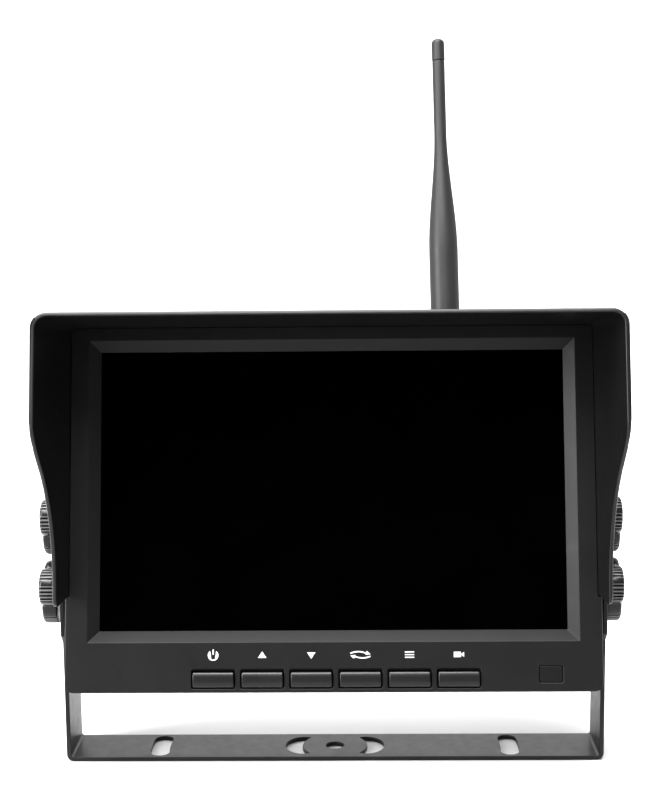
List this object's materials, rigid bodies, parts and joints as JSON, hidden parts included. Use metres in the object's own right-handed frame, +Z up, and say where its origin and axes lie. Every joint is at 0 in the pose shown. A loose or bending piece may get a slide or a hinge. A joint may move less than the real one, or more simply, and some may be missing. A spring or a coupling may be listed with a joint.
{
  "type": "backup camera monitor",
  "caption": "Wide dashboard monitor with deep black sun hood, front push buttons, tall folding antenna and a steel U bracket clamped by lobed hand knobs.",
  "frame": {"origin": "centre of the foot's screw hole, on the underside of the foot", "axes": "+Z up out of the foot, +Y to the back of the monitor, +X to the right as the screen is seen"},
  "size_m": [0.193, 0.1241, 0.2427],
  "materials": {
    "bracket_steel": "satin black powder coat",
    "case_plastic": "fine matt black moulded plastic",
    "hood_plastic": "matt black moulded plastic",
    "screen": "black unlit display glass",
    "light_guide": "clear acrylic sheet",
    "led": "white board with yellow diodes",
    "sheet_steel": "bright plated sheet",
    "circuit_board": "green solder mask",
    "components": "black moulded packages",
    "capacitor": "sleeved aluminium cans",
    "ir_lens": "dark infrared filter plastic",
    "fastener_steel": "zinc plated",
    "brass": "gold coloured plated brass",
    "friction_rubber": "black rubber",
    "socket_plastic": "black plastic",
    "button_plastic": "satin black plastic",
    "knob_plastic": "satin black nylon",
    "antenna_plastic": "satin dark grey elastomer"
  },
  "bodies": {
    "bracket": {"u_bracket": "bracket_steel"},
    "monitor": {"front_bezel": "case_plastic", "rear_housing": "case_plastic", "sun_hood": "hood_plastic", "screen_glass": "screen", "light_guide": "light_guide", "led_strip": "led", "lcd_frame": "sheet_steel", "main_board": "circuit_board", "board_chips": "components", "board_capacitors": "capacitor", "rf_shield": "sheet_steel", "board_screws": "fastener_steel", "key_board": "circuit_board", "tact_switches": "components", "key_board_screws": "fastener_steel", "ir_window": "ir_lens", "ir_receiver": "components", "speaker": "components", "speaker_cone": "components", "power_inlet": "socket_plastic", "inlet_pin": "fastener_steel", "housing_screws": "fastener_steel", "threaded_inserts": "brass", "friction_discs": "friction_rubber", "clamp_washers": "fastener_steel", "antenna_jack": "brass", "jack_nut": "brass"},
    "knob_left_lower": {"knob_left_lower": "knob_plastic", "stud_left_lower": "fastener_steel"},
    "knob_left_upper": {"knob_left_upper": "knob_plastic", "stud_left_upper": "fastener_steel"},
    "knob_right_lower": {"knob_right_lower": "knob_plastic", "stud_right_lower": "fastener_steel"},
    "knob_right_upper": {"knob_right_upper": "knob_plastic", "stud_right_upper": "fastener_steel"},
    "power_button": {"power_button": "button_plastic"},
    "up_button": {"up_button": "button_plastic"},
    "down_button": {"down_button": "button_plastic"},
    "swap_button": {"swap_button": "button_plastic"},
    "menu_button": {"menu_button": "button_plastic"},
    "source_button": {"source_button": "button_plastic"},
    "antenna_base": {"antenna_collar": "antenna_plastic", "antenna_elbow": "antenna_plastic", "antenna_hinge_pin": "fastener_steel"},
    "antenna_whip": {"antenna_whip": "antenna_plastic", "antenna_wire": "brass", "antenna_tip": "antenna_plastic"}
  },
  "joints": [
    {"name": "monitor_tilt", "type": "hinge", "parent": "bracket", "child": "monitor", "pos_m": [0, 0, 0.0563], "axis": [1, 0, 0], "range_deg": [-6.6, 33.4]},
    {"name": "knob_left_lower_turn", "type": "hinge", "parent": "monitor", "child": "knob_left_lower", "pos_m": [-0.094, 0, 0.0563], "axis": [-1, 0, 0], "continuous": true},
    {"name": "knob_left_upper_turn", "type": "hinge", "parent": "monitor", "child": "knob_left_upper", "pos_m": [-0.094, 0.00533, 0.07867], "axis": [-1, 0, 0], "continuous": true},
    {"name": "knob_right_lower_turn", "type": "hinge", "parent": "monitor", "child": "knob_right_lower", "pos_m": [0.094, 0, 0.0563], "axis": [1, 0, 0], "continuous": true},
    {"name": "knob_right_upper_turn", "type": "hinge", "parent": "monitor", "child": "knob_right_upper", "pos_m": [0.094, 0.00533, 0.07867], "axis": [1, 0, 0], "continuous": true},
    {"name": "power_button_press", "type": "slide", "parent": "monitor", "child": "power_button", "axis": [0, 0.9728, -0.2317], "range_m": [0, 0.0008], "stiffness_N_per_m": 2000},
    {"name": "up_button_press", "type": "slide", "parent": "monitor", "child": "up_button", "axis": [0, 0.9728, -0.2317], "range_m": [0, 0.0008], "stiffness_N_per_m": 2000},
    {"name": "down_button_press", "type": "slide", "parent": "monitor", "child": "down_button", "axis": [0, 0.9728, -0.2317], "range_m": [0, 0.0008], "stiffness_N_per_m": 2000},
    {"name": "swap_button_press", "type": "slide", "parent": "monitor", "child": "swap_button", "axis": [0, 0.9728, -0.2317], "range_m": [0, 0.0008], "stiffness_N_per_m": 2000},
    {"name": "menu_button_press", "type": "slide", "parent": "monitor", "child": "menu_button", "axis": [0, 0.9728, -0.2317], "range_m": [0, 0.0008], "stiffness_N_per_m": 2000},
    {"name": "source_button_press", "type": "slide", "parent": "monitor", "child": "source_button", "axis": [0, 0.9728, -0.2317], "range_m": [0, 0.0008], "stiffness_N_per_m": 2000},
    {"name": "antenna_swivel", "type": "hinge", "parent": "monitor", "child": "antenna_base", "pos_m": [0.0406, 0.03542, 0.1247], "axis": [0, 0.9728, -0.2317], "range_deg": [-90, 90]},
    {"name": "antenna_fold", "type": "hinge", "parent": "antenna_base", "child": "antenna_whip", "pos_m": [0.0406, 0.0468, 0.12199], "axis": [-0.9999, -0.0034, -0.0144], "range_deg": [0, 90]}
  ]
}
